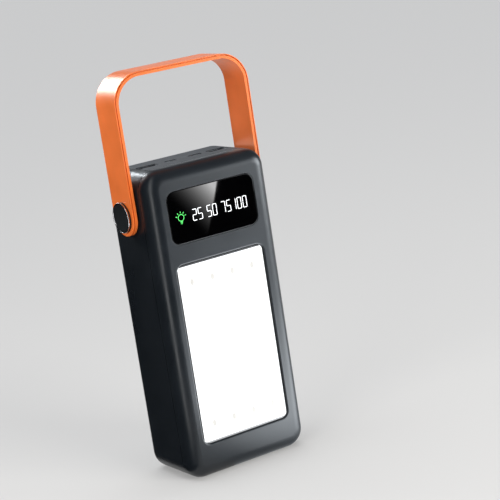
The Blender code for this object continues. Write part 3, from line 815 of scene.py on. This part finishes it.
class POWERBANK_OT_display(bpy.types.Operator):
    """Black lens with the lit charge figures and the lamp symbol"""

    bl_idname = "powerbank.display"
    bl_label = "Display"

    def execute(self, context):
        settings = context.scene.powerbank_display
        lens = add_tile("display_window", LENS_LOW, LENS_HIGH, "Y", settings.lens_corner, 12)
        round_edges(lens, level("Y", LENS_LOW.y), 0.00035, 3)
        keep(lens, lens_glass(), "lens", "display_lens")

        white = lit("lit white figures", tuple(settings.figures), 0.95)
        for text, left in LEVELS.items():
            figures = joined(self.figures(text, left, settings), f"charge_level_{text}")
            keep(figures, white, "lamp_white")
        icon = joined(self.lamp_symbol(), "lamp_symbol")
        keep(icon, lit("lit green symbol", tuple(settings.lamp_icon), 0.75), "lamp_white")
        return {"FINISHED"}

    def figures(self, text, left, settings):
        """The lit segments of one number, its left edge at the given place."""
        stroke, tall, wide = settings.stroke, settings.digit_height, settings.digit_width
        marks = []
        x = left
        for letter in text:
            narrow = letter == "1"
            centre = x - wide / 2 + stroke if narrow else x + wide / 2
            for segment in FIGURES[letter]:
                across, up, way = SEGMENTS[segment]
                place = (centre + across * (wide - stroke) / 2, FIGURES_Z + up * (tall - stroke) / 2)
                span = wide - stroke * 1.5 if way == "across" else (tall - stroke) / 2 - stroke * 0.42
                size = (span, stroke) if way == "across" else (stroke, span)
                marks.append(add_print("segment", *place, *size, stroke * 0.46))
            x += stroke + (settings.digit_pitch - wide) if narrow else settings.digit_pitch
        return marks

    def lamp_symbol(self):
        """A bulb: a ring with a short base, and five rays."""
        radius, line, rounding, reach = 0.00195, 0.00032, 0.00015, 0.0032
        near, far = FRONT_Y - PRINT_PROUD, FRONT_Y + PRINT_DEEP
        middle = (ICON_X, 0, ICON_Z)
        ring = add_rod("ring", radius + line / 2, near, far, middle, 48, "Y")
        carve(ring, add_rod("ring hole", radius - line / 2, near - THROUGH, far + THROUGH, middle, 48, "Y"))
        marks = [ring]
        for row, width in enumerate((0.0016, 0.0014, 0.0008)):
            marks.append(add_print("base", ICON_X, ICON_Z - 0.0024 - row * 0.0006, width, 0.00036, rounding))
        for number in range(5):
            angle = math.radians((number - 2) * 36)
            x, z = ICON_X + reach * math.sin(angle), ICON_Z + reach * math.cos(angle)
            marks.append(add_print("ray", x, z, 0.00036, 0.0011, rounding, tilt=angle))
        return marks


class POWERBANK_OT_lamp(bpy.types.Operator):
    """Glowing frosted cover with a flange behind the window"""

    bl_idname = "powerbank.lamp"
    bl_label = "Lamp"

    def execute(self, context):
        settings = context.scene.powerbank_lamp
        low, high = lamp_face()
        low.y = max(low.y, FRONT_Y + settings.set_back)
        cover = add_tile("lamp_cover", low, high, "Y", settings.corner - CLEARANCE, 12)
        flange_low = (LAMP_LOW.x, LAMP_HIGH.y - 0.001, LAMP_LOW.z)
        fuse(cover, add_tile("flange", flange_low, LAMP_HIGH, "Y", 0.003, 6))
        round_edges(cover, level("Y", low.y), 0.0003, 3)
        keep(cover, lamp_cover_material(settings), "lamp_white", "lamp_diffuser")
        return {"FINISHED"}


# Handle, pivots and button
def dish(obj, face_x, steps):
    """Sinks a face that looks along X: each step insets it by a width and moves it."""
    with shaping(obj, "FACE", level("X", face_x)):
        for width, move in steps:
            bpy.ops.mesh.inset(thickness=width)
            bpy.ops.transform.translate(value=(move, 0, 0))


class POWERBANK_OT_handle(bpy.types.Operator):
    """Flat strap bent to a U, its ends rounded about the pivots, with a fine groove along its edge"""

    bl_idname = "powerbank.handle"
    bl_label = "Carry handle"

    def execute(self, context):
        settings = context.scene.powerbank_handle
        strap = self.bent_strap(settings)
        self.round_ends(strap)
        self.edge_groove(strap, settings)
        bore_at_pivots(strap, "eye", settings.eye, HANDLE_HIGH.x, 48)
        soften(strap, 0.00015)
        keep(strap, handle_plastic(settings), "handle_plastic", "handle", body="handle", angle=28)
        return {"FINISHED"}

    def bent_strap(self, settings):
        """Drawn up one leg, round a bend, across, round the other bend and down."""
        thick, bend = settings.thickness, settings.corner
        band = HANDLE_HIGH.y - HANDLE_LOW.y
        bottom, bend_z = PIVOT.z - band / 2, HANDLE_HIGH.z - bend
        deselect_all()
        bpy.ops.mesh.primitive_plane_add(size=1, location=(HANDLE_LOW.x + thick / 2, 0, bottom))
        bpy.context.object.scale = (thick, band, 1)
        strap = new_object("carry_handle")

        def draw(x, z):
            bpy.ops.mesh.extrude_region_move(TRANSFORM_OT_translate={"value": (x, 0, z)})

        def turn(centre_x):
            """A quarter turn. With no window, spin turns the other way about its axis."""
            centre = (centre_x, 0, bend_z)
            bpy.ops.mesh.spin(steps=14, angle=math.pi / 2, center=centre, axis=(0, -1, 0))

        with shaping(strap, "FACE", lambda corners: True):
            for depth in (settings.groove_depth, settings.groove_depth + settings.groove):
                bpy.ops.mesh.select_all(action="SELECT")
                bpy.ops.mesh.bisect(plane_co=(HANDLE_LOW.x + depth, 0, bottom), plane_no=(1, 0, 0))
            bpy.ops.mesh.select_all(action="SELECT")
            draw(0, bend_z - bottom)
            turn(HANDLE_LOW.x + bend)
            draw(HANDLE_HIGH.x - HANDLE_LOW.x - 2 * bend, 0)
            turn(HANDLE_HIGH.x - bend)
            draw(0, bottom - bend_z)
            bpy.ops.mesh.select_all(action="SELECT")
            bpy.ops.mesh.remove_doubles(threshold=1e-6)
            bpy.ops.mesh.normals_make_consistent(inside=False)
        return strap

    def edge_groove(self, strap, settings):
        """A fine groove that runs all round the strap's edge, close under its outer face."""
        bend, slack = settings.corner, 2e-5
        near, far = settings.groove_depth - slack, settings.groove_depth + settings.groove + slack

        def depth(point):
            """How far the point lies under the outer face."""
            past_x = max(0.0, abs(point.x) - (HANDLE_HIGH.x - bend))
            past_z = max(0.0, point.z - (HANDLE_HIGH.z - bend))
            return bend - math.hypot(past_x, past_z)

        def in_groove(corners):
            """A face between the groove's two edges. A face along one of them has no width."""
            depths = [depth(corner) for corner in corners]
            return all(near < value < far for value in depths) and max(depths) - min(depths) > 1e-4

        inwards = {"value": -settings.groove * 1.8}
        with shaping(strap, "FACE", in_groove):
            bpy.ops.mesh.extrude_region_shrink_fatten(TRANSFORM_OT_shrink_fatten=inwards)

    def round_ends(self, strap):
        """Both ends follow a half circle about the pivot."""
        radius = (HANDLE_HIGH.y - HANDLE_LOW.y) / 2

        def lowest(ends):
            return along("X")(ends) and level("Z", PIVOT.z - radius, 1e-5)(ends)

        round_edges(strap, lowest, radius - 1e-5, 16)


class POWERBANK_OT_pivots(bpy.types.Operator):
    """Dished cap, bright trim ring and friction washer on each side"""

    bl_idname = "powerbank.pivots"
    bl_label = "Pivots"

    def execute(self, context):
        cap_finish = moulded_plastic("dark cap plastic", (0.009, 0.011, 0.013), 0.34, depth=0.00001)
        bright = plated_metal("bright trim", (0.86, 0.87, 0.90), 0.09)
        dark = moulded_plastic("black washer plastic", (0.012, 0.012, 0.013), 0.5)
        for side, sign in SIDES.items():
            self.cap(side, sign, cap_finish)
            self.ring(side, bright)
            self.washer(side, dark)
        return {"FINISHED"}

    def cap(self, side, sign, finish):
        """A disc with a wider rim at its seat, hollow behind, with a shallow dish in its face."""
        low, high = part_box(f"pivot_cap_{side}")
        face, seat = (low.x, high.x) if sign < 0 else (high.x, low.x)
        radius = (high.z - low.z) / 2
        rim_width, rim_height, skin = 0.0009, 0.0005, 0.0006
        cap = add_rod(f"pivot_disc_{side}", radius - rim_width, low.x, high.x, PIVOT)
        fuse(cap, add_rod("rim", radius, *sorted((seat, seat + sign * rim_height)), PIVOT))
        hollow = sorted((seat - sign * 0.001, face - sign * skin))
        carve(cap, add_rod("hollow", 0.0069, *hollow, PIVOT, 48))
        dish(cap, face, ((0.0006, -sign * 0.0001), (0.0035, -sign * 0.00012)))
        soften(cap, 0.00015, angle=60)
        keep(cap, finish, "cap_plastic", f"pivot_cap_{side}")

    def ring(self, side, finish):
        """A ring of rounded section that stands round the disc's face."""
        low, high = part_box(f"pivot_ring_{side}")
        half_section = 0.00038
        deselect_all()
        bpy.ops.mesh.primitive_torus_add(
            major_radius=(high.z - low.z) / 2 - half_section,
            minor_radius=half_section,
            major_segments=96,
            minor_segments=16,
            location=((low.x + high.x) / 2, PIVOT.y, PIVOT.z),
            rotation=(0, math.pi / 2, 0),
        )
        bpy.context.object.scale = (1, 1, (high.x - low.x) / 2 / half_section)
        ring = new_object(f"trim_ring_{side}")
        keep(ring, finish, "chrome", f"pivot_ring_{side}", angle=60)

    def washer(self, side, finish):
        low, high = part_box(f"pivot_washer_{side}")
        radius = (high.z - low.z) / 2
        washer = add_rod(f"friction_washer_{side}", radius, low.x, high.x, PIVOT, 64)
        carve(washer, add_rod("washer hole", 0.0043, low.x - THROUGH, high.x + THROUGH, PIVOT, 48))
        soften(washer, 0.00012)
        keep(washer, finish, "black_plastic", f"pivot_washer_{side}")


class POWERBANK_OT_button(bpy.types.Operator):
    """Pill-shaped push button with a dished face, a flange and a stem"""

    bl_idname = "powerbank.button"
    bl_label = "Power button"

    def execute(self, context):
        low, high = grown(BUTTON_LOW, BUTTON_HIGH, (0, -BUTTON_FLANGE, -BUTTON_FLANGE))
        low.x = BUTTON_LOW.x + 0.0011
        button = add_tile("push_button", low, high, "X", (high.z - low.z) / 2 - 0.0001, 12)
        dish(button, BUTTON_HIGH.x, ((0.0007, -0.00015), (0.0008, -0.0001)))
        low, high = BUTTON_LOW.copy(), BUTTON_HIGH.copy()
        low.x += 0.0009
        high.x = SHELL_HIGH.x - context.scene.powerbank_case.wall - 0.0004
        fuse(button, add_tile("flange", low, high, "X", (high.z - low.z) / 2 - BUTTON_FLANGE, 10))
        middle = (BUTTON_LOW + BUTTON_HIGH) / 2
        fuse(button, add_rod("stem", 0.0015, BUTTON_LOW.x, BUTTON_LOW.x + 0.002, middle, 32))
        soften(button, 0.0002, 3)
        finish = moulded_plastic("dark button plastic", (0.022, 0.026, 0.031), 0.38, depth=0.000012)
        keep(button, finish, "cap_plastic", "power_button", body="button")
        return {"FINISHED"}


class POWERBANK_OT_inside(bpy.types.Operator):
    """Finishes for the cells, boards, wires and screws inside the case"""

    bl_idname = "powerbank.inside"
    bl_label = "Inside"

    def execute(self, context):
        steel = plated_metal("screw steel", (0.58, 0.58, 0.60), 0.28)
        board = circuit_board()
        finishes = {
            "cell_": shrink_sleeve(),
            "nickel_strip": plated_metal("nickel strip", (0.66, 0.62, 0.55), 0.3, (0.05, 1.0, 1.0)),
            "main_board": board,
            "display_board": board,
            "lamp_board": board,
            "lamp_reflector": moulded_plastic("white reflector plastic", (0.86, 0.86, 0.85), 0.4),
            "display_light_box": moulded_plastic("black box plastic", (0.014, 0.014, 0.015), 0.55),
            "button_switch": moulded_plastic("black switch plastic", (0.016, 0.016, 0.017), 0.5),
            "inductor": moulded_plastic("grey ferrite", (0.05, 0.05, 0.052), 0.7, 1800.0, 0.00005),
            "controller_chip": moulded_plastic("chip epoxy", (0.012, 0.012, 0.013), 0.55, depth=0.00001),
            "capacitor": plated_metal("capacitor can", (0.70, 0.71, 0.73), 0.25),
            "battery_wire_positive": wire_insulation("red insulation", (0.42, 0.012, 0.010)),
            "battery_wire_negative": wire_insulation("black insulation", (0.014, 0.014, 0.015)),
        }
        finishes["lamp_wire_positive"] = finishes["battery_wire_positive"]
        finishes["lamp_wire_negative"] = finishes["battery_wire_negative"]
        for name, node in frame["nodes"].items():
            if node.hide_render:
                continue
            found = [finish for start, finish in finishes.items() if name.startswith(start)]
            node.data.materials.clear()
            node.data.materials.append(found[0] if found else steel)
        return {"FINISHED"}


# Stage
SOFTBOX_COOL, SOFTBOX_WARM = (0.90, 0.955, 1.0), (1.0, 0.96, 0.90)


def add_softbox(name, place, aim, width, height, energy, diffuse=True, gloss=True):
    """A soft rectangular light, cool where it shows in gloss and warm where it only lights."""
    deselect_all()
    bpy.ops.object.light_add(type="AREA", location=place)
    light = bpy.context.object
    light.name = name
    light.data.shape = "RECTANGLE"
    light.data.size, light.data.size_y = width, height
    light.data.energy = energy
    light.data.color = SOFTBOX_COOL if gloss else SOFTBOX_WARM
    light.visible_camera = False
    light.visible_diffuse = diffuse
    light.visible_glossy = gloss
    light.rotation_euler = (Vector(aim) - Vector(place)).to_track_quat("-Z", "Y").to_euler()


def card_finish(name, glow_colour, base=(0.0, 0.0, 0.0), roughness=1.0):
    """A dull finish, with no gloss of its own, that shines in one colour."""
    finish = Finish(name, base, roughness)
    fill(finish.shader, Specular_IOR_Level=0.0, Emission_Color=(*glow_colour, 1.0))
    return finish


class POWERBANK_OT_stage(bpy.types.Operator):
    """Pale floor, soft studio light and the camera"""

    bl_idname = "powerbank.stage"
    bl_label = "Stage"

    def execute(self, context):
        settings = context.scene.powerbank_stage
        self.camera(context, settings)
        self.floor(settings)
        self.world(context, settings)
        context.scene.view_settings.view_transform = "Standard"
        self.sky_light()
        middle = (0, 0, 0.12)
        add_softbox("key light", (1.0, -0.40, 0.22), middle, 0.5, 0.5, 6.0, diffuse=False)
        add_softbox("front light", (0.62, -0.56, 0.20), middle, 0.5, 0.36, 2.8, diffuse=False)
        add_softbox("back light", (-0.34, 1.25, 0.98), middle, 0.8, 0.45, 55.0, diffuse=False)
        add_softbox("low back light", (0.75, 1.2, 0.33), middle, 0.9, 0.4, 0.8, diffuse=False)
        add_softbox("fill light", (0.35, -1.4, 0.7), middle, 0.8, 0.8, 17.0, gloss=False)
        add_softbox("side light", (-1.2, -0.6, 0.5), middle, 0.8, 0.8, 10.5, gloss=False)
        self.glow_card()
        self.dark_wrap()
        self.lens_card(context)
        return {"FINISHED"}

    def world(self, context, settings):
        """Dim all round, and as pale as the floor where the camera sees it."""
        world = bpy.data.worlds.new("studio")
        world.use_nodes = True
        nodes, links = world.node_tree.nodes, world.node_tree.links
        dim = nodes["Background"]
        fill(dim, Color=(0.86, 0.92, 1.0, 1.0), Strength=0.18)
        pale = nodes.new("ShaderNodeBackground")
        fill(pale, Color=(*settings.floor, 1.0), Strength=0.78)
        ray = nodes.new("ShaderNodeLightPath")
        mix = nodes.new("ShaderNodeMixShader")
        links.new(ray.outputs["Is Camera Ray"], mix.inputs["Fac"])
        links.new(dim.outputs[0], mix.inputs[1])
        links.new(pale.outputs[0], mix.inputs[2])
        links.new(mix.outputs[0], nodes["World Output"].inputs["Surface"])
        context.scene.world = world

    def sky_light(self):
        """Even soft light from above, over the whole floor."""
        deselect_all()
        bpy.ops.object.light_add(type="SUN", location=(0, 0, 2), rotation=(math.radians(-18), 0, 0))
        light = bpy.context.object
        light.name = "sky light"
        light.data.energy = 2.4
        light.data.angle = math.radians(70)
        light.visible_glossy = False

    def dark_wrap(self):
        """A dark curved card round the left, seen only in gloss, with one bright upright stripe."""
        radius, first, last, stripe = 0.21, math.radians(100), math.radians(287), math.radians(222)
        wrap = add_rod("dark wrap", radius, 0.0005, 0.7, (0, 0, 0), 120, "Z")

        def open_part(corners):
            middle = sum(corners, Vector()) / len(corners)
            turn = math.atan2(middle.y, middle.x) % math.tau
            return middle.xy.length < radius / 2 or not first < turn < last

        with shaping(wrap, "FACE", open_part):
            bpy.ops.mesh.delete(type="FACE")
        foot = add_block("dark foot", (-radius, -0.10, 0.0003), (-0.044, radius, 0.0006))
        wrap = joined([wrap, foot], "dark wrap")
        finish = card_finish("dark wrap", (1.0, 1.0, 1.0), (0.003, 0.003, 0.004), 0.9)
        side = finish.times(finish.coordinate("X"), -math.sin(stripe))
        forward = finish.times(finish.coordinate("Y"), math.cos(stripe))
        away = finish.maths("ABSOLUTE", finish.plus(side, forward))
        front = finish.between(finish.coordinate("Y"), 1.0, 0.0, -0.10, -0.08)
        glow = finish.times(finish.between(away, 4.5, 0.0, 0.006, 0.026), front)
        self.gloss_only(wrap, finish, glow)

    def glow_card(self):
        """A bright card on the floor in front on the right, seen only in gloss, which fades with distance."""
        card = add_block("glow card", (-0.01, -0.9, 0.0004), (0.9, 0.10, 0.0008))
        finish = card_finish("glow card", SOFTBOX_COOL)
        reach = finish.node("ShaderNodeVectorMath", operation="LENGTH")
        finish.link(finish.place, reach.inputs[0])
        rightwards = finish.between(finish.coordinate("X"), 0.0, 1.0, -0.005, 0.07)
        forwards = finish.between(finish.coordinate("Y"), 1.0, 0.0, -0.055, -0.02)
        fade = finish.between(reach.outputs["Value"], 9.0, 0.6, 0.1, 0.55)
        glow = finish.maths("MAXIMUM", finish.times(finish.times(rightwards, forwards), fade), 0.6)
        self.gloss_only(card, finish, glow)

    def gloss_only(self, card, finish, glow):
        """Gives the card its finish and its glow, and hides it from all but reflections."""
        finish.feed("Emission Strength", glow)
        card.data.materials.append(finish.material)
        for ray in ("camera", "diffuse", "transmission", "shadow", "volume_scatter"):
            setattr(card, f"visible_{ray}", False)

    def camera(self, context, settings):
        azimuth, elevation = math.radians(settings.azimuth), math.radians(settings.elevation)
        level_part = Vector((math.sin(azimuth), -math.cos(azimuth), 0.0)) * math.cos(elevation)
        back = level_part + Vector((0.0, 0.0, math.sin(elevation)))
        bpy.ops.object.camera_add()
        camera = context.object
        camera.data.lens = settings.lens
        look = (-back).to_track_quat("-Z", "Y").to_matrix().to_4x4()
        roll = Matrix.Rotation(math.radians(-settings.roll), 4, "Z")
        camera.matrix_world = Matrix.Translation(CAMERA_AIM + back * settings.distance) @ look @ roll
        context.scene.camera = camera

    def lens_card(self, context):
        """A card out of view, seen only in gloss: black, with a graded bright part that ends on a slant."""
        eye = context.scene.camera.matrix_world.translation.copy()
        eye.y = 2 * FRONT_Y - eye.y
        card_y = FRONT_Y - 0.33
        growth = (eye.y - card_y) / (eye.y - FRONT_Y)

        def on_card(x, z):
            return Vector((eye.x + growth * (x - eye.x), card_y, eye.z + growth * (z - eye.z)))

        margin = 0.004
        low = on_card(LENS_LOW.x - margin, LENS_LOW.z - margin)
        high = on_card(LENS_HIGH.x + margin, LENS_HIGH.z + margin)
        card = add_block("lens card", low - Vector((0, 0.001, 0)), high)
        finish = card_finish("lens card", (1.0, 1.0, 1.0))

        def ramp(start, end):
            """0 to 1 over the card, between the reflections of two places on the lens."""
            first, last = on_card(*start), on_card(*end)
            way = (last - first) / (last - first).length_squared
            across = finish.times(finish.coordinate("X"), way.x)
            upward = finish.times(finish.coordinate("Z"), way.z)
            so_far = finish.maths("SUBTRACT", finish.plus(across, upward), way.dot(first))
            return finish.between(so_far, 0.0, 1.0)

        brightness = finish.maths("POWER", ramp((-0.020, 0.158), (0.0016, 0.1742)), 3.0)
        inside = ramp((-0.0005, 0.160), (-0.00115, 0.16026))
        self.gloss_only(card, finish, finish.times(finish.times(brightness, inside), 12.0))

    def floor(self, settings):
        deselect_all()
        bpy.ops.mesh.primitive_plane_add(size=40)
        floor = new_object("floor")
        finish = card_finish("pale floor", settings.floor, shade(tuple(settings.floor), 0.5), 0.7)
        finish.vary_roughness(finish.noise(6.0, detail=3.0), 0.66, 0.74)
        fill(finish.shader, Emission_Strength=0.30)
        floor.data.materials.append(finish.material)


class POWERBANK_PT_panel(bpy.types.Panel):
    """Lists the steps in order"""

    bl_idname = "POWERBANK_PT_panel"
    bl_label = "Power bank"
    bl_space_type = "VIEW_3D"
    bl_region_type = "UI"
    bl_category = "Power bank"

    def draw(self, context):
        for name in SETTINGS:
            box = self.layout.box()
            group = getattr(context.scene, name)
            for key in group.bl_rna.properties.keys():
                if key not in ("rna_type", "name"):
                    box.prop(group, key)
        for operator in STEPS:
            self.layout.operator(operator.bl_idname)


SETTINGS = {
    "powerbank_case": CaseSettings,
    "powerbank_display": DisplaySettings,
    "powerbank_lamp": LampSettings,
    "powerbank_handle": HandleSettings,
    "powerbank_stage": StageSettings,
}
STEPS = (
    POWERBANK_OT_stage,
    POWERBANK_OT_front_cover,
    POWERBANK_OT_rear_shell,
    POWERBANK_OT_socket_plate,
    POWERBANK_OT_sockets,
    POWERBANK_OT_display,
    POWERBANK_OT_lamp,
    POWERBANK_OT_handle,
    POWERBANK_OT_pivots,
    POWERBANK_OT_button,
    POWERBANK_OT_inside,
)


def register():
    for cls in (*SETTINGS.values(), *STEPS, POWERBANK_PT_panel):
        bpy.utils.register_class(cls)
    for name, group in SETTINGS.items():
        setattr(bpy.types.Scene, name, bpy.props.PointerProperty(type=group))


def unregister():
    for name in SETTINGS:
        delattr(bpy.types.Scene, name)
    for cls in reversed((*SETTINGS.values(), *STEPS, POWERBANK_PT_panel)):
        bpy.utils.unregister_class(cls)


def main():
    register()
    for operator in STEPS:
        group, name = operator.bl_idname.split(".")
        getattr(getattr(bpy.ops, group), name)()


if __name__ == "__main__":
    main()
